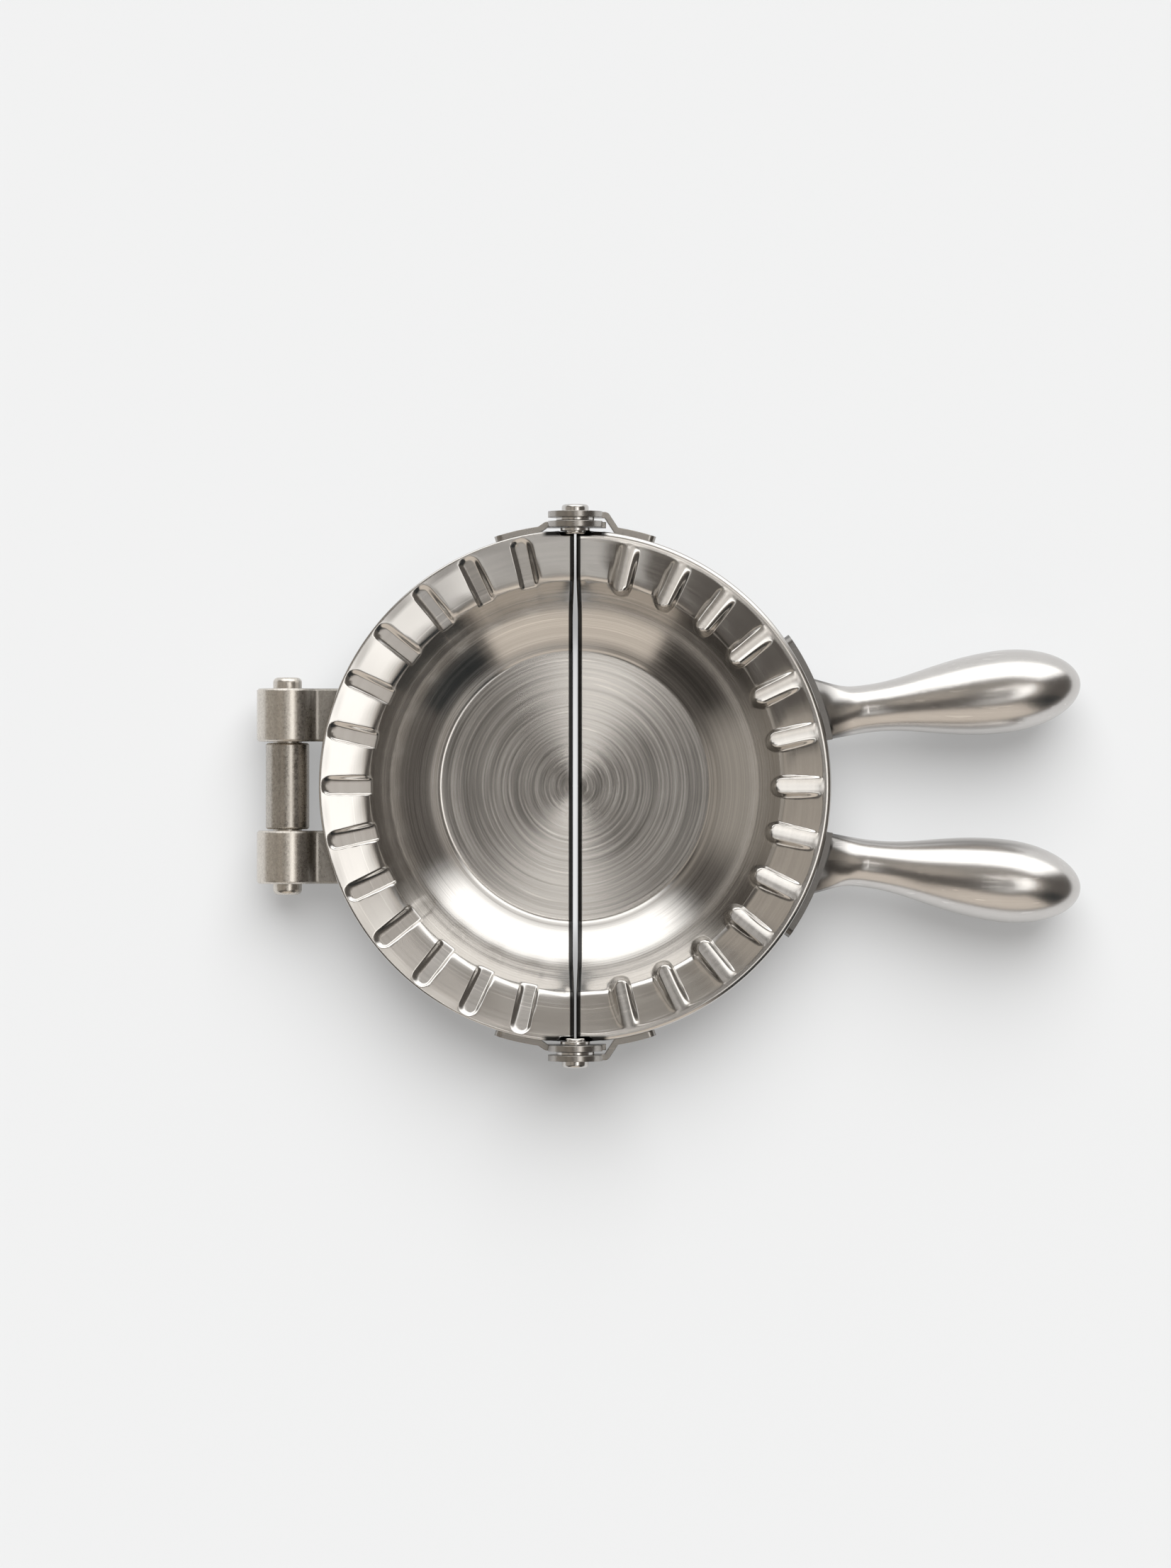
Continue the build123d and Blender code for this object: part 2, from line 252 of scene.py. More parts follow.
# %% Ribs and ring of the right half
RIB_NOSE = 42.4
RIB_TAIL = 1.5
RIB_SLOPE = math.radians(6.0)
RIB_RISE = -0.05
RIB_CROWN = 0.08
RIB_CROWN_HALF_WIDTH = 1.5
RIB_CROWN_LIMIT = 1.5
RING_START = 53.1
RING_SLOPE = math.radians(-1.0)
RING_BEND = 53.9
RING_FALL = 0.55
RING_BLEND = 0.9

# Share of the sheet's thickness by which each flank of a flute stands further in on the
# flute's hollow side.
SHEET_TAPER = 0.7

crest_end_height = panel_height(FLUTE_OUTER) + RIB_RISE


def ribbed_height(height, radius, angle, depth):
    """Height of the right half, with ribs that run into a ring along the rim."""
    along, across = flute_place(radius, angle)
    beyond_bend = np.maximum(radius - RING_BEND, 0.0) / (RIM_RADIUS - RING_BEND)
    ring = crest_end_height - (radius - RING_START) * math.tan(RING_SLOPE)
    ring = ring - RING_FALL * beyond_bend**2
    crest = crest_end_height + (FLUTE_OUTER - along) * math.tan(RIB_SLOPE)
    off_middle = np.minimum(np.abs(across) / RIB_CROWN_HALF_WIDTH, RIB_CROWN_LIMIT)
    crest = crest - RIB_CROWN * off_middle**2
    half_width = FLUTE_HALF_WIDTH[1] - SHEET_TAPER * depth
    rib = bar_weight(along, across, 1, half_width, RIB_NOSE, FLUTE_OUTER + RIB_TAIL)
    band = smooth_step((radius - RING_START) / RING_BLEND + 0.5)
    ribbed = height + rib * positive_part(crest - depth - height)
    return (1 - band) * ribbed + band * (ring - depth)


print("crests end at", round(crest_end_height, 2))

# %% Grooves of the left half
GROOVE_NOSE = 39.6
GROOVE_TAIL = 0.3
GROOVE_SLOPE = math.radians(17.5)
GROOVE_DEPTH = 0.15

floor_end_height = panel_height(FLUTE_OUTER) - GROOVE_DEPTH


def grooved_height(height, radius, angle, depth):
    """Height of the left half, with grooves that run out into the wall."""
    along, across = flute_place(radius, angle)
    target = floor_end_height - (FLUTE_OUTER - along) * math.tan(GROOVE_SLOPE) - depth
    half_width = FLUTE_HALF_WIDTH[-1] + SHEET_TAPER * depth
    weight = bar_weight(along, across, -1, half_width, GROOVE_NOSE, FLUTE_OUTER + GROOVE_TAIL)
    return height - weight * positive_part(height - target)


def sheet_height(radius, angle, side, depth):
    """Height of the sheet at a depth below its upper face."""
    height = plain_height(radius, angle, side, depth)
    if side > 0:
        return ribbed_height(height, radius, angle, depth)
    return grooved_height(height, radius, angle, depth)


print("groove floors end at", round(floor_end_height, 2))

# %% [markdown]
# ## The pressed bowls as meshes
#
# Each bowl is a grid: one row for each radius and one column for each angle. An even grid
# fine enough for the crisp shoulders would be far too heavy, so rows and columns stand
# close together only where the shape bends most: at the shoulders of the flutes, at the
# mouth's lip and at the seam, where the edge of the sheet is rounded. The last rows leave
# the height function and turn down over the rim into the skirt. The same grid makes the
# upper and the lower face, and a strip along the outline closes the two into one sheet.

# %% Columns and rows of the grid
COLUMN_LIMIT = math.pi / 2
MIDDLE_OF_PANELS = 49.0
SEAM_PANEL_COLUMNS = 10
EDGE_BEND = 0.45
FIELD_END = RIM_RADIUS - EDGE_BEND
FIRST_ROW = 0.58

# Each band of rows by the radius where it ends and the number of its rows.
ROW_BANDS = {
    "middle": (3.0, 11),
    "bottom": (BOTTOM_RADIUS, 11),
    "step": (foot[0], 5),
    "wall": (41.6, 24),
    "lip": (46.8, 28),
    "panels": (52.2, 11),
    "rim": (FIELD_END, 11),
}

shoulder_offsets = np.concatenate(
    ((0.6, 1.15), np.linspace(1.4, 2.2, 8), (2.45, 2.75, 3.1, 3.7, 4.6))
)
one_flute = np.concatenate((-shoulder_offsets[::-1], (0.0,), shoulder_offsets)) / MIDDLE_OF_PANELS
flute_numbers = np.arange(FLUTE_COUNT) - FLUTE_COUNT // 2
columns = np.concatenate([number * FLUTE_PITCH + one_flute for number in flute_numbers])
seam_panel = np.linspace(columns[-1], COLUMN_LIMIT, SEAM_PANEL_COLUMNS + 2)[1:-1]
columns = np.concatenate((-seam_panel[::-1], columns, seam_panel))

field_radii = np.array([FIRST_ROW])
for band_end, band_rows in ROW_BANDS.values():
    band = np.linspace(field_radii[-1], band_end, band_rows + 1)
    field_radii = np.concatenate((field_radii, band[1:]))
print("columns", len(columns), "rows", len(field_radii))

# %% Rows up to the rim
SEAM_HALF_GAP = 0.55
SEAM_RIM_HALF_GAP = 0.24
SEAM_GAP_CHANGE = (36.0, 46.0)
SEAM_STEPS = (0.0, 0.02, 0.06, 0.14, 0.26, 0.42, 0.8)
UPPER_SEAM_ROUND = 0.35
LOWER_SEAM_ROUND = 0.25
SMALLEST_STEP = 1e-4


def seam_half_gap(radius):
    """Half the gap at the seam, which is narrower between the rims than at the bottom."""
    start, end = SEAM_GAP_CHANGE
    share = smooth_step((radius - start) / (end - start))
    return SEAM_HALF_GAP + (SEAM_RIM_HALF_GAP - SEAM_HALF_GAP) * share


def grid_angles(radius):
    """Angles of one row's columns, which end on the seam's edge."""
    edge = seam_half_gap(radius) + np.array(SEAM_STEPS)
    ends = np.arccos(np.clip(edge / radius, -1.0, 1.0))
    inner = columns * ends[-1] / COLUMN_LIMIT
    return np.concatenate((-ends, inner, ends[::-1]))


def rounded_drop(distance, radius):
    """How far a rounded edge falls at a distance from its end."""
    reach = np.clip(radius - distance, 0.0, radius)
    return radius - np.sqrt(radius * radius - reach * reach)


def field_row(radius, side, depth):
    """One row of points that the height function gives."""
    radius = max(radius, seam_half_gap(radius) + SMALLEST_STEP)
    angles = grid_angles(radius)
    x, y = radius * np.cos(angles), radius * np.sin(angles)
    z = sheet_height(radius, angles, side, depth)
    from_edge = x - seam_half_gap(radius)
    if depth == 0:
        z = z - rounded_drop(from_edge, UPPER_SEAM_ROUND)
    else:
        z = z + rounded_drop(from_edge, LOWER_SEAM_ROUND)
    return np.stack((x, y, z), axis=1)


print("gap at the seam", 2 * SEAM_HALF_GAP, "between the rims", 2 * SEAM_RIM_HALF_GAP)

# %% Rows over the rim and down the skirt
SKIRT_HEIGHT = 6.5
EDGE_FALL = {1: -0.4, -1: math.tan(PANEL_SLOPE)}
EDGE_DROP = 0.25
EDGE_SHARES = (0.2, 0.4, 0.6, 0.8, 1.0)
SKIRT_SHARES = (0.25, 0.5, 0.75, 1.0)
SEAM_STRIP = 1.5
SQUEEZE_START = 50.0


def turned_down_rows(last, rim_radius, fall):
    """Rows that carry the last row of the field over the rim and down the skirt."""
    rows = []
    start = math.hypot(last[len(last) // 2, 0], last[len(last) // 2, 1])
    corner_height = last[:, 2] + (rim_radius - start) * fall
    bend = rim_radius - start + EDGE_DROP
    for share in EDGE_SHARES:
        outwards = start + (rim_radius - start) * (1 - (1 - share) ** 2)
        radial = outwards / start
        x = last[:, 0] * np.where(last[:, 0] > SEAM_STRIP, radial, 1.0)
        z = (1 - share) ** 2 * last[:, 2] + 2 * share * (1 - share) * corner_height
        z = z + share**2 * (corner_height - bend)
        rows.append(np.stack((x, last[:, 1] * radial, z), axis=1))
    edge = rows[-1]
    for share in SKIRT_SHARES:
        row = edge.copy()
        row[:, 2] = (1 - share) * row[:, 2] + share * (RIM_HEIGHT - SKIRT_HEIGHT)
        rows.append(row)
    return rows


def face_points(side, depth):
    """Grid of points of one face of a bowl: rows, columns, xyz in millimetres."""
    rim_radius = RIM_RADIUS - depth
    squeeze = (rim_radius - EDGE_BEND - SQUEEZE_START) / (FIELD_END - SQUEEZE_START)
    squeezed = SQUEEZE_START + (field_radii - SQUEEZE_START) * squeeze
    radii = np.where(field_radii > SQUEEZE_START, squeezed, field_radii)
    rows = [field_row(radius, side, depth) for radius in radii]
    rows += turned_down_rows(rows[-1], rim_radius, EDGE_FALL[side])
    return np.array(rows)


print("skirt ends at", RIM_HEIGHT - SKIRT_HEIGHT, "mm above the table")

# %% [markdown]
# Behind each pivot the rim is pressed flat, so that the ears of the hinge can stand close to
# it. A cut would leave a sharp corner and a hole in the skirt. Here the points that stand
# out too far are moved back to a limit, and the limit gives way softly beside the pivot and
# below it, where the skirt stays whole.

# %% Flats behind the pivots
PIVOT_FLAT = 53.7
PIVOT_FLAT_REST = 54.6
PIVOT_FLAT_HALF_WIDTH = 3.2
PIVOT_FLAT_BOTTOM = 13.9
PIVOT_FLAT_SOFTNESS = 0.6
PIVOT_FLAT_END = 6.0
PIVOT_FLAT_END_LENGTH = 3.0
ROOM_BESIDE = 2.0
ROOM_BELOW = 1.4


def pressed_flat(points, limit):
    """The rim's two ends at the seam, pressed flat behind the pivots and whole below them."""
    x, y, z = points[..., 0], points[..., 1], points[..., 2]
    beside = smooth_step((x - PIVOT_FLAT_HALF_WIDTH) / PIVOT_FLAT_SOFTNESS)
    beside = beside * (PIVOT_FLAT_REST - PIVOT_FLAT)
    free = ROOM_BESIDE * smooth_step((x - PIVOT_FLAT_END) / PIVOT_FLAT_END_LENGTH)
    below = ROOM_BELOW * smooth_step((PIVOT_FLAT_BOTTOM - z) / PIVOT_FLAT_SOFTNESS)
    points[..., 1] = np.sign(y) * np.minimum(np.abs(y), limit + beside + free + below)
    return points


print("flats", 2 * PIVOT_FLAT_HALF_WIDTH, "mm wide")

# %% [markdown]
# Points and quads go to Blender as one mesh for each half. The left half runs through the
# same code and is then mirrored, so its quads are turned over to keep their fronts outside.
# A Solidify modifier on the upper face alone would be shorter, but it couldn't round the
# sheet's edges at the seam. Where points fall on each other there, a weld joins them. Each
# half rides on its own body and takes the place of its solid.

# %% Bowls
WELD_DISTANCE = 0.002


def grid_faces(rows, columns_count, offset, turn):
    """Quads between neighbouring points of a grid."""
    faces = []
    for row in range(rows - 1):
        for column in range(columns_count - 1):
            first = offset + row * columns_count + column
            quad = (first, first + columns_count, first + columns_count + 1, first + 1)
            faces.append(quad if turn > 0 else quad[::-1])
    return faces


def outline_of(rows, count):
    """Numbers of the points round a grid, from its first point back to it."""
    outline = [row * count for row in range(rows)]
    outline += [(rows - 1) * count + column for column in range(1, count)]
    outline += [row * count + count - 1 for row in range(rows - 2, -1, -1)]
    return outline + list(range(count - 1, -1, -1))


def pressed_bowl(name, side):
    """One half bowl as a closed sheet. Side 1 is the right half and -1 the left."""
    upper = pressed_flat(face_points(side, 0.0), PIVOT_FLAT)
    lower = pressed_flat(face_points(side, SHEET), PIVOT_FLAT - SHEET)
    rows, count = upper.shape[:2]
    points = np.concatenate((upper.reshape(-1, 3), lower.reshape(-1, 3))) * MM
    points[:, 0] *= side
    shift = rows * count
    faces = grid_faces(rows, count, 0, side) + grid_faces(rows, count, shift, -side)
    outline = outline_of(rows, count)
    for first, second in zip(outline, outline[1:]):
        if first != second:
            quad = (first, first + shift, second + shift, second)
            faces.append(quad[::-1] if side > 0 else quad)
    mesh = bpy.data.meshes.new(name)
    mesh.from_pydata(points.tolist(), [], faces)
    mesh.validate()
    mesh.polygons.foreach_set("use_smooth", [True] * len(mesh.polygons))
    bowl = bpy.data.objects.new(name, mesh)
    bpy.context.scene.collection.objects.link(bowl)
    weld = bowl.modifiers.new("weld", "WELD")
    weld.merge_threshold = WELD_DISTANCE * MM
    print(name, "faces", len(mesh.polygons))
    return bowl


right_pressing = pressed_bowl("right_pressing", 1)
left_pressing = pressed_bowl("left_pressing", -1)

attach(right_pressing, "right_half")
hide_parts("right_bowl")
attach(left_pressing, "left_half")
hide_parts("left_bowl")

# %% [markdown]
# Brushed steel stretches its reflections across the brush marks, and Blender needs to know
# which way the marks run. A Tangent node could say it. With no tangent given, Blender takes
# them to run round the middle of the mesh's texture space. So the texture space of both half
# bowls is centred on the dish, where the brush turned, and no node is needed for it.

# %% Texture space of the bowls
for pressing in (right_pressing, left_pressing):
    pressing.data.use_auto_texspace = False
    pressing.data.texspace_location = (0.0, 0.0, 0.0)
    pressing.data.texspace_size = (RIM_RADIUS * MM, RIM_RADIUS * MM, RIM_RADIUS * MM)
    print(pressing.name, "texture space", tuple(pressing.data.texspace_size))

# %% [markdown]
# ## Shader maths as expressions
#
# A finish is mostly arithmetic on numbers that vary over the surface. Writing one Math node
# for each step hides what is meant, so a small class wraps a socket and turns Python's
# operators into Math nodes. Any other node comes from one method of the finish.

# %% Sockets with arithmetic
class Signal:
    """One number that varies over a surface."""

    def __init__(self, finish, socket):
        self.finish = finish
        self.socket = socket

    def maths(self, operation, *others):
        values = dict(enumerate((self, *others)))
        return self.finish.node("ShaderNodeMath", {"operation": operation}, values).signal()

    def __add__(self, other):
        return self.maths("ADD", other)

    def __sub__(self, other):
        return self.maths("SUBTRACT", other)

    def __rsub__(self, other):
        return (self * -1.0) + other

    def __mul__(self, other):
        return self.maths("MULTIPLY", other)

    def __truediv__(self, other):
        return self.maths("DIVIDE", other)

    def __pow__(self, other):
        return self.maths("POWER", other)

    __radd__ = __add__
    __rmul__ = __mul__

    def step(self, low, high):
        """0 below low, 1 above high and an S curve between. Low may be the larger one."""
        settings = {"interpolation_type": "SMOOTHSTEP", "clamp": True}
        values = {"Value": self, "From Min": low, "From Max": high}
        return self.finish.node("ShaderNodeMapRange", settings, values).signal("Result")


# %% Nodes of a finish
class Placed:
    """A node that stands in a finish, with its outputs by name or number."""

    def __init__(self, finish, node):
        self.finish = finish
        self.node = node

    def signal(self, output=0):
        return Signal(self.finish, self.node.outputs[output])


class Finish:
    """A node tree that is filled with nodes by their type, settings and sockets."""

    def __init__(self, tree):
        self.tree = tree
        tree.nodes.clear()

    def node(self, kind, settings=None, sockets=None):
        node = self.tree.nodes.new(kind)
        for key, value in (settings or {}).items():
            setattr(node, key, value)
        for key, value in (sockets or {}).items():
            if isinstance(value, Signal):
                self.tree.links.new(value.socket, node.inputs[key])
            else:
                node.inputs[key].default_value = value
        return Placed(self, node)

    def noise(self, vector, scale, detail):
        sockets = {"Vector": vector, "Scale": scale, "Detail": detail}
        return self.node("ShaderNodeTexNoise", {}, sockets).signal("Fac")

    def triple(self, x, y, z):
        return self.node("ShaderNodeCombineXYZ", {}, {"X": x, "Y": y, "Z": z}).signal()

    def parts(self, vector):
        """The three numbers of a vector."""
        parts = self.node("ShaderNodeSeparateXYZ", {}, {0: vector})
        return parts.signal("X"), parts.signal("Y"), parts.signal("Z")

    def place(self):
        """The point on the piece in metres, as three numbers."""
        return self.parts(self.node("ShaderNodeTexCoord").signal("Object"))

    def scaled(self, colour, value):
        """A colour, made darker or lighter by a value."""
        settings = {"operation": "SCALE"}
        return self.node("ShaderNodeVectorMath", settings, {0: colour, "Scale": value}).signal()

    def blend(self, share, first, second):
        """Colour between two colours."""
        settings = {"data_type": "RGBA"}
        return self.node("ShaderNodeMix", settings, {0: share, 6: first, 7: second}).signal(2)


# %% [markdown]
# ## Steel
#
# All of the press is stainless steel, but each piece was finished in its own way: the bowls
# were brushed in rings, the straps along their length, the bar was blasted, and the grips
# were polished to a satin sheen. What they share is a warm grey metal whose colour and
# roughness drift a little, fine lines in one direction, and a few hair scratches from use.
# A material of its own for each piece would repeat all of that, so one function makes them
# all. It takes the direction of the lines as stretched coordinates: one that runs along the
# lines and two across.

# %% The steel finish
# Noise that makes lines: cycles in a metre along and across them, and its detail.
FINE_LINES = (60.0, 2400.0, 3.0)
COARSE_LINES = (25.0, 420.0, 2.0)
HAIR_LINES = (140.0, 1500.0, 0.0)
HAIR_OFFSET = 7.0
HAIR_LEVELS = (0.74, 0.8)
HAIR_LIGHT = 0.15
HAIR_DEPTH = 0.4
CLOUDS = 90.0
CLOUD_DETAIL = 3.0
FINE_SHARE = 0.8
COARSE_SHARE = 0.2
ROUGH_BY_GRAIN = 0.25
ROUGH_BY_CLOUD = 0.5
QUARTER_TURN = 0.25
EDGE_SAMPLES = 6


def steel(
    name, lay, colour, roughness, lines, drift, bump,
    anisotropy=0.0, edge=0.0, shade=None, worn=None,
):
    """A steel material. Its lay gives one coordinate along its lines and two across, in metres.

    Where given, shade scales the colour from place to place, and worn scales the lines.
    """
    material = bpy.data.materials.new(name)
    material.use_nodes = True
    finish = Finish(material.node_tree)
    x, y, z = finish.place()
    u, v, w = lay(x, y, z)

    def stretched(lines_noise, offset=None):
        """Noise that is stretched along the lay."""
        along, across, detail = lines_noise
        first = u * along if offset is None else u * along + offset
        return finish.noise(finish.triple(first, v * across, w * across), 1.0, detail)

    fine = stretched(FINE_LINES)
    coarse = stretched(COARSE_LINES)
    scratch = stretched(HAIR_LINES, HAIR_OFFSET).step(*HAIR_LEVELS)
    cloud = finish.noise(finish.triple(x, y, z), CLOUDS, CLOUD_DETAIL)

    grain = (fine - 0.5) * FINE_SHARE + (coarse - 0.5) * COARSE_SHARE
    if worn:
        grain = grain * worn(x, y, z)
    value = 1.0 + grain * lines + (cloud - 0.5) * drift + scratch * HAIR_LIGHT
    if shade:
        value = value * shade(x, y, z)
    rough = roughness + grain * lines * ROUGH_BY_GRAIN + (cloud - 0.5) * drift * ROUGH_BY_CLOUD
    relief = {"Strength": 1.0, "Distance": bump * MM, "Height": grain - scratch * HAIR_DEPTH}
    if edge:
        settings = {"samples": EDGE_SAMPLES}
        soft = finish.node("ShaderNodeBevel", settings, {"Radius": edge * MM})
        relief["Normal"] = soft.signal()
    sockets = {
        "Base Color": finish.scaled(colour, value),
        "Metallic": 1.0,
        "Roughness": rough,
        "Anisotropic": anisotropy,
        "Anisotropic Rotation": QUARTER_TURN if anisotropy else 0.0,
        "Normal": finish.node("ShaderNodeBump", {}, relief).signal(),
    }
    shader = finish.node("ShaderNodeBsdfPrincipled", {}, sockets).signal()
    finish.node("ShaderNodeOutputMaterial", {}, {"Surface": shader})
    return material


print("fine lines", FINE_LINES, "coarse", COARSE_LINES, "hairs", HAIR_LINES)

# %% [markdown]
# The lay of each finish is a short function. Rings run round the dish, so the way round it
# is the coordinate along the lines, and the distance from its middle is one across. On a
# straight piece they are just its own axes. A blasted bar has short marks, so its lines are
# squeezed along their length. A texture painted by hand would need unwrapping, and these
# follow every piece at any scale.

# %% Lays
RING_STRETCH = 0.008
RING_WANDER = 0.0003
GRAIN_SQUEEZE = 30.0


def along_x(x, y, z):
    return x, y, z


def grainy(x, y, z):
    """Short marks instead of lines, as a blasted bar has."""
    return y * GRAIN_SQUEEZE, x, z


def from_middle(x, y):
    """Distance from the middle of the dish."""
    return (x * x + y * y) ** 0.5


def round_the_dish(x, y, z):
    radius = from_middle(x, y)
    return x / radius * RING_STRETCH, y / radius * RING_WANDER, radius + z


print("grain squeezed", GRAIN_SQUEEZE, "times")

# %% [markdown]
# Some places are darker or smoother than the rest of their piece. Painted shade darkens the
# edges of the seam and the rim behind the pivots, the leaves of the lugs on their side towards
# the rim, and the saddles close to the dish, where the parts keep the light off. On the rim,
# the tool pressed the brush lines out. Separate materials would end in hard borders. A soft
# step of the distance gives each of them, and it scales the steel's own colour or grain.

# %% Worn places and painted shade
# Painted shade: a band along each edge of the seam, and the rim behind each pivot.
SEAM_SHADE_BAND = (1.05, 0.75)
SEAM_SHADE_DEPTH = 0.95
BEHIND_PIVOT_FROM = (53.3, 54.0)
BEHIND_PIVOT_UNTIL = (7.5, 6.0)
# Painted shade on the lugs' leaves towards the rim.
LEAF_START = (-60.5, -56.5)
LEAF_SHADE_DEPTH = 0.5
# Painted shade on the saddles next to the dish.
SADDLE_START = (61.5, 57.0)
SADDLE_SHADE_DEPTH = 0.62
BRUSH_END = (45.0, 41.0)
BRUSH_LEFT = 0.3


def between(value, limits):
    """A soft step of a length between two limits in millimetres."""
    return value.step(limits[0] * MM, limits[1] * MM)


def seam_shade(x, y, z):
    """Painted shade at the seam's edges and behind the pivots, where the light is lost."""
    wide = between(from_middle(x, y), SEAM_GAP_CHANGE[::-1])
    edge = SEAM_RIM_HALF_GAP * MM + wide * (SEAM_HALF_GAP - SEAM_RIM_HALF_GAP) * MM
    seam_shadow = between(x.maths("ABSOLUTE") - edge, SEAM_SHADE_BAND)
    # Painted shade on the rim behind each pivot, under the ears.
    behind_pivot = between(y.maths("ABSOLUTE"), BEHIND_PIVOT_FROM)
    behind_pivot = behind_pivot * between(x.maths("ABSOLUTE"), BEHIND_PIVOT_UNTIL)
    return 1.0 - seam_shadow.maths("MAXIMUM", behind_pivot) * SEAM_SHADE_DEPTH


def leaf_shade(x, y, z):
    """Painted shade on the leaves of the lugs, darker on their side towards the rim."""
    return 1.0 - between(x, LEAF_START) * LEAF_SHADE_DEPTH


def saddle_shade(x, y, z):
    """Painted shade on the saddles, darker close to the dish, where the rim keeps the light off.
    """
    return 1.0 - between(from_middle(x, y), SADDLE_START) * SADDLE_SHADE_DEPTH


def smooth_rim(x, y, z):
    """Share of the brush lines that is left, as the rim's tool pressed them out."""
    return BRUSH_LEFT + (1 - BRUSH_LEFT) * between(from_middle(x, y), BRUSH_END)


print("saddles darken from", SADDLE_START[0], "mm inwards")

# %% [markdown]
# Every piece names a slot, and each slot gets one steel. The bowls are the smoothest and the
# only ones with stretched reflections. The straps are darker, raw sheet, and the roller is a
# little darker than the bar that carries it. Straps, rivets, bar and roller have slightly
# broken edges, which a Bevel node gives without extra faces. The grips are smooth, with only
# a hint of lines.

# %% Materials of the slots
BOWL_STEEL = (0.63, 0.61, 0.585)
STRAP_STEEL = (0.40, 0.38, 0.355)
RIVET_STEEL = (0.62, 0.60, 0.575)
BAR_STEEL = (0.66, 0.62, 0.565)
ROLLER_STEEL = (0.46, 0.43, 0.39)
HANDLE_STEEL = (0.64, 0.62, 0.60)

finishes = {
    "bowl_steel": steel(
        "bowl_steel", round_the_dish, BOWL_STEEL, roughness=0.18, lines=0.8, drift=0.1,
        bump=0.0022, anisotropy=0.8, shade=seam_shade, worn=smooth_rim,
    ),
    "strap_steel": steel(
        "strap_steel", along_x, STRAP_STEEL, roughness=0.26, lines=0.3, drift=0.2,
        bump=0.004, edge=0.25,
    ),
    "rivet_steel": steel(
        "rivet_steel", along_x, RIVET_STEEL, roughness=0.2, lines=0.15, drift=0.25,
        bump=0.003, edge=0.2,
    ),
    "bar_steel": steel(
        "bar_steel", grainy, BAR_STEEL, roughness=0.3, lines=0.9, drift=0.3,
        bump=0.005, edge=0.3, shade=leaf_shade,
    ),
    "roller_steel": steel(
        "roller_steel", grainy, ROLLER_STEEL, roughness=0.27, lines=1.3, drift=0.3,
        bump=0.007, edge=0.2,
    ),
    "handle_steel": steel(
        "handle_steel", along_x, HANDLE_STEEL, roughness=0.25, lines=0.16, drift=0.12,
        bump=0.002, shade=saddle_shade,
    ),
}

for entry in record["subparts"]:
    dressed = frame["nodes"][entry["node"]].data.materials
    dressed.clear()
    dressed.append(finishes[entry["material_slot"]])
for pressing in (right_pressing, left_pressing):
    pressing.data.materials.append(finishes["bowl_steel"])
print("finishes", len(finishes))

# %% [markdown]
# ## The studio that the steel mirrors
#
# Metal shows its surroundings more than itself. Softboxes could be built as glowing planes
# round the press, but they would stand in the way of other views. The world is a better
# place for them: it is endlessly far away, so a patch of light in it is given by angles
# alone. Here the room is dim and warm, with a large soft box towards the top of the picture,
# a warm wall towards the bottom, smaller lamps nearly overhead and dark gaps between them.
# Each patch is named for the steel that mirrors it. A flat piece that is tilted by some
# angle mirrors what stands at twice that angle from straight up.

# %% Patches of the studio
ROOM = (0.115, 0.104, 0.094)
BACKGROUND = (0.9, 0.905, 0.91)

# Angles in degrees: from and to, measured from straight up, the compass angle of the middle,
# half the width round the compass, and the softness of both. Then the colour.
PATCHES = {
    "upper cone of the bottom": (3.2, 9.0, 80.0, 26.0, 1.2, 9.0, (3.5, 3.42, 3.3)),
    "lower cone of the bottom": (3.2, 9.0, -96.0, 26.0, 1.2, 9.0, (1.5, 1.46, 1.4)),
    "lower panels": (12.0, 34.0, 90.0, 46.0, 5.0, 14.0, (0.32, 0.295, 0.265)),
    "upper panels": (14.0, 33.0, -84.0, 17.0, 4.0, 8.0, (0.72, 0.71, 0.69)),
    "lower wall": (39.0, 88.0, 83.0, 46.0, 3.0, 10.0, (2.1, 2.1, 2.08)),
    "upper wall": (40.0, 84.0, -90.0, 31.0, 4.0, 3.0, (0.84, 0.76, 0.67)),
    "dark left of upper wall": (44.0, 78.0, -42.0, 14.0, 5.0, 3.0, (0.02, 0.024, 0.026)),
    "dark right of upper wall": (44.0, 78.0, -138.0, 14.0, 5.0, 3.0, (0.05, 0.045, 0.04)),
    "right wall": (40.0, 100.0, 180.0, 24.0, 8.0, 10.0, (0.42, 0.39, 0.35)),
    "groove floors": (28.0, 37.0, 0.0, 42.0, 3.0, 8.0, (0.42, 0.37, 0.315)),
    "right panels": (12.0, 36.0, 164.0, 32.0, 4.0, 8.0, (0.50, 0.455, 0.40)),
    "right ribs": (12.0, 24.0, -4.0, 26.0, 3.0, 8.0, (2.1, 2.08, 2.04)),
    "left panels": (19.0, 28.5, -14.0, 46.0, 2.5, 8.0, (2.2, 2.18, 2.14)),
    "upper right ribs": (9.5, 21.0, 42.0, 22.0, 2.5, 15.0, (1.25, 1.2, 1.14)),
}
print("patches", len(PATCHES))

# %% World
NEARLY_ZERO = 1e-5
DEGREES = 180.0 / math.pi


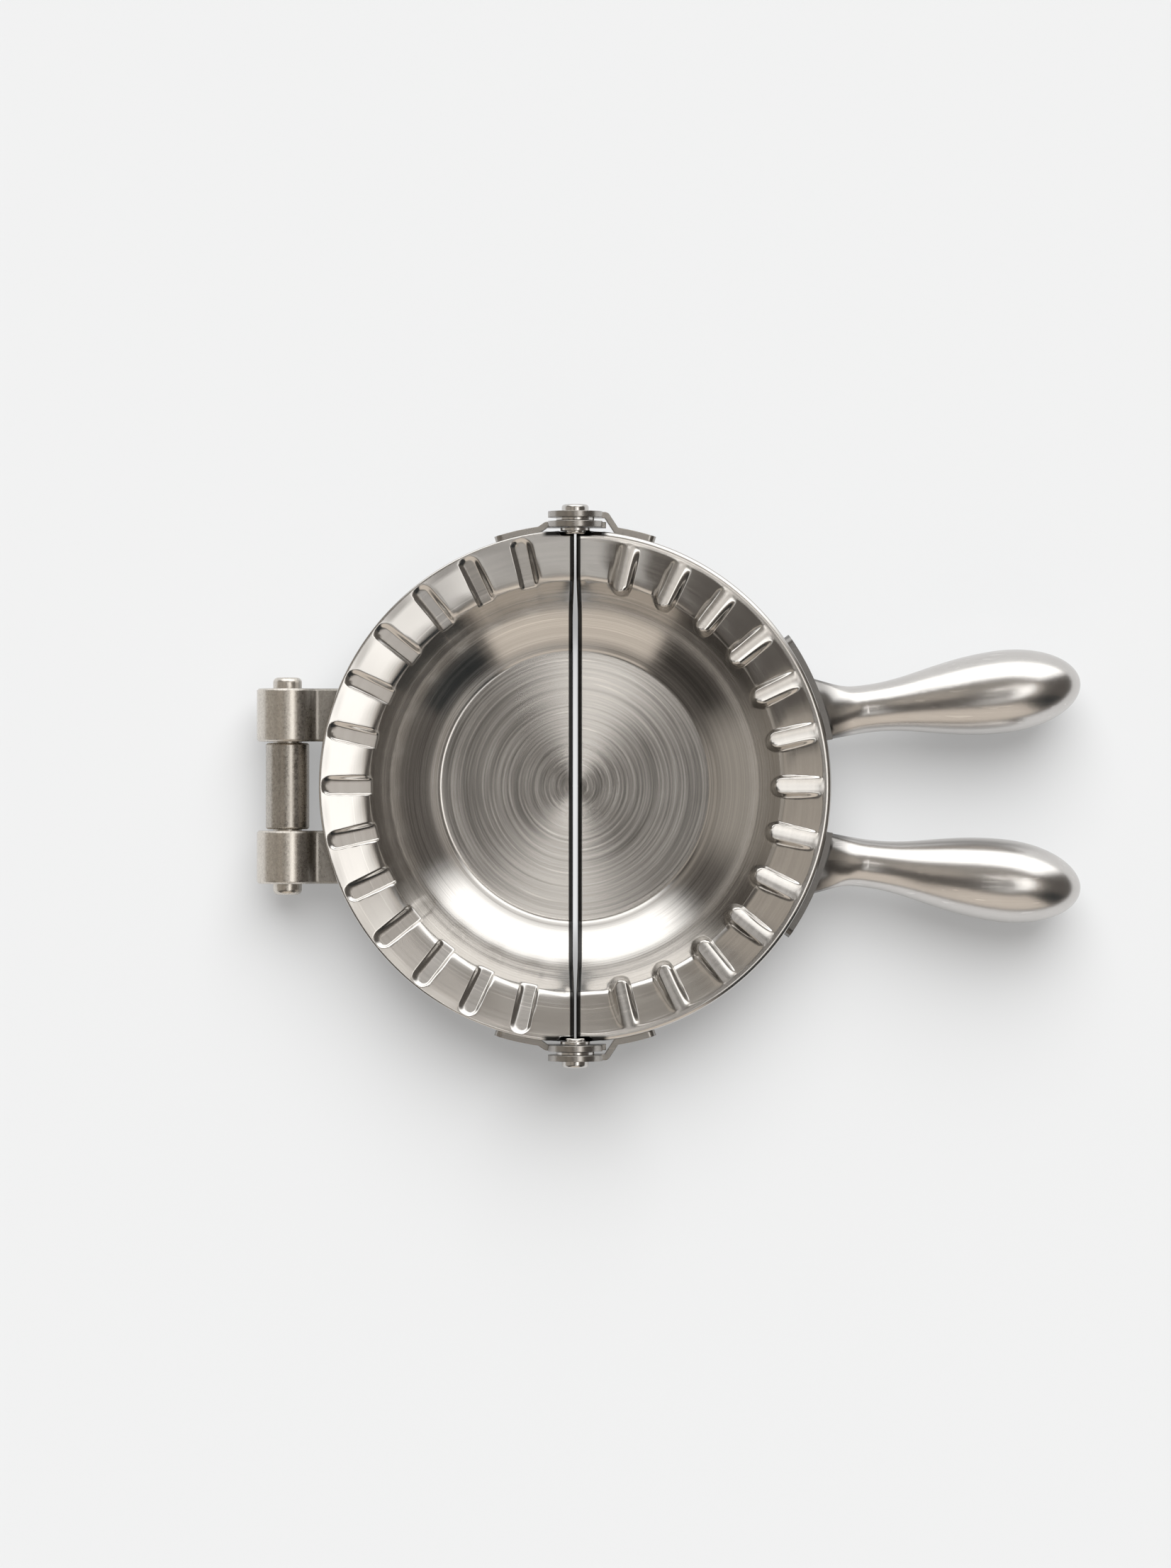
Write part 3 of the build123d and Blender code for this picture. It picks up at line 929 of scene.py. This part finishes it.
def studio_world():
    """The world's light: a dim warm room with soft boxes, and a pale background to the camera."""
    world = bpy.data.worlds.new("studio")
    bpy.context.scene.world = world
    world.use_nodes = True
    room = Finish(world.node_tree)
    east, north, up = room.parts(room.node("ShaderNodeTexCoord").signal("Generated"))
    across = (east * east + north * north) ** 0.5 + NEARLY_ZERO
    zenith = up.maths("ARCCOSINE") * DEGREES

    def patch(low, high, compass, half_width, soft_zenith, soft_compass):
        """A soft patch between two angles from straight up, about a compass angle."""
        angle = math.radians(compass)
        facing = (east * math.cos(angle) + north * math.sin(angle)) / across
        away = facing.maths("ARCCOSINE") * DEGREES
        band = zenith.step(low - soft_zenith, low + soft_zenith)
        band = band * zenith.step(high + soft_zenith, high - soft_zenith)
        return band * away.step(half_width + soft_compass, half_width - soft_compass)

    colour = (*ROOM, 1.0)
    for *angles, tint in PATCHES.values():
        colour = room.blend(patch(*angles), colour, (*tint, 1.0))
    glow = room.node("ShaderNodeBackground", {}, {"Color": colour, "Strength": 1.0}).signal()
    pale = room.node("ShaderNodeBackground", {}, {"Color": (*BACKGROUND, 1.0)}).signal()
    seen = room.node("ShaderNodeLightPath").signal("Is Camera Ray")
    mixed = room.node("ShaderNodeMixShader", {}, {0: seen, 1: glow, 2: pale}).signal()
    room.node("ShaderNodeOutputWorld", {}, {"Surface": mixed})
    print("world nodes", len(world.node_tree.nodes))


studio_world()

# %% [markdown]
# ## Floor
#
# The press lies on a plain pale sheet that fades into the background. A shadow catcher
# would leave the steel's underside without a floor to mirror, so it is a real plane: a matte
# grey that takes the shadow, and a little glow of its own that lifts the whole sheet to
# nearly white without a stronger lamp.

# %% Studio floor
FLOOR_HALF_SIZE = 2.5
FLOOR_DROP = 0.00005
FLOOR_COLOUR = (0.25, 0.253, 0.256)
FLOOR_LIFT = 0.28


def studio_floor():
    """A pale sheet that the press lies on, a little lighter than its light alone makes it."""
    size = FLOOR_HALF_SIZE
    corners = [(-size, -size), (size, -size), (size, size), (-size, size)]
    mesh = bpy.data.meshes.new("studio_floor")
    mesh.from_pydata([(x, y, -FLOOR_DROP) for x, y in corners], [], [(0, 1, 2, 3)])
    floor = bpy.data.objects.new("studio_floor", mesh)
    bpy.context.scene.collection.objects.link(floor)
    material = bpy.data.materials.new("studio_floor")
    material.use_nodes = True
    sheet = Finish(material.node_tree)
    matte = sheet.node("ShaderNodeBsdfDiffuse", {}, {"Color": (*FLOOR_COLOUR, 1.0)}).signal()
    glow = sheet.node("ShaderNodeEmission", {}, {"Strength": FLOOR_LIFT}).signal()
    both = sheet.node("ShaderNodeAddShader", {}, {0: matte, 1: glow}).signal()
    sheet.node("ShaderNodeOutputMaterial", {}, {"Surface": both})
    mesh.materials.append(material)
    print("floor", 2 * size, "m wide")


studio_floor()

# %% [markdown]
# ## Key light
#
# The shadow falls softly towards the bottom of the picture, and a little to the left. The
# world alone gives almost no shadow, and an area lamp would light near and far pieces
# unevenly. A sun has one direction everywhere, and a wide angle makes its shadow as soft as
# a big lamp's. It is hidden from the steel, which has the world's patches to mirror.

# %% Key light
KEY_AZIMUTH = math.radians(84.0)
KEY_ZENITH = math.radians(42.0)
KEY_WIDTH = math.radians(62.0)
KEY_STRENGTH = 7.4


def key_light():
    """A broad soft key from the top of the picture, for the shadow only."""
    data = bpy.data.lights.new("key", "SUN")
    data.energy = KEY_STRENGTH
    data.angle = KEY_WIDTH
    key = bpy.data.objects.new("key", data)
    key.rotation_euler = (0.0, KEY_ZENITH, KEY_AZIMUTH)
    key.visible_glossy = False
    bpy.context.scene.collection.objects.link(key)
    print("key strength", data.energy)


key_light()

# %% [markdown]
# ## Camera
#
# The photograph looks straight down and shows hardly any perspective, so the camera hangs
# far above the press with a long lens. An orthographic camera would lose the last of the
# perspective at the grips' tips. One scale, taken at the height of the rim, turns pixels
# into millimetres, and it sets both the lens and the point above which the camera hangs.

# %% Camera
MM_PER_PIXEL = 0.152
PHOTO_WIDTH, PHOTO_HEIGHT = 1652, 2213
SEAM_COLUMN = 811.5
DISH_ROW = 1109.5
CAMERA_DISTANCE = 1300.0
SENSOR_HEIGHT = 36.0
NEAREST_VISIBLE = 0.01

camera_data = bpy.data.cameras.new("camera")
camera = bpy.data.objects.new("camera", camera_data)
bpy.context.scene.collection.objects.link(camera)
camera_data.sensor_fit = "VERTICAL"
camera_data.sensor_height = SENSOR_HEIGHT
camera_data.lens = SENSOR_HEIGHT * CAMERA_DISTANCE / (PHOTO_HEIGHT * MM_PER_PIXEL)
camera_data.clip_start = NEAREST_VISIBLE
camera.location = (
    (PHOTO_WIDTH / 2 - SEAM_COLUMN) * MM_PER_PIXEL * MM,
    (DISH_ROW - PHOTO_HEIGHT / 2) * MM_PER_PIXEL * MM,
    (RIM_HEIGHT + CAMERA_DISTANCE) * MM,
)
camera.rotation_euler = (0.0, 0.0, 0.0)
bpy.context.scene.camera = camera
bpy.context.scene.view_settings.view_transform = "Standard"
print("lens", round(camera_data.lens, 1))
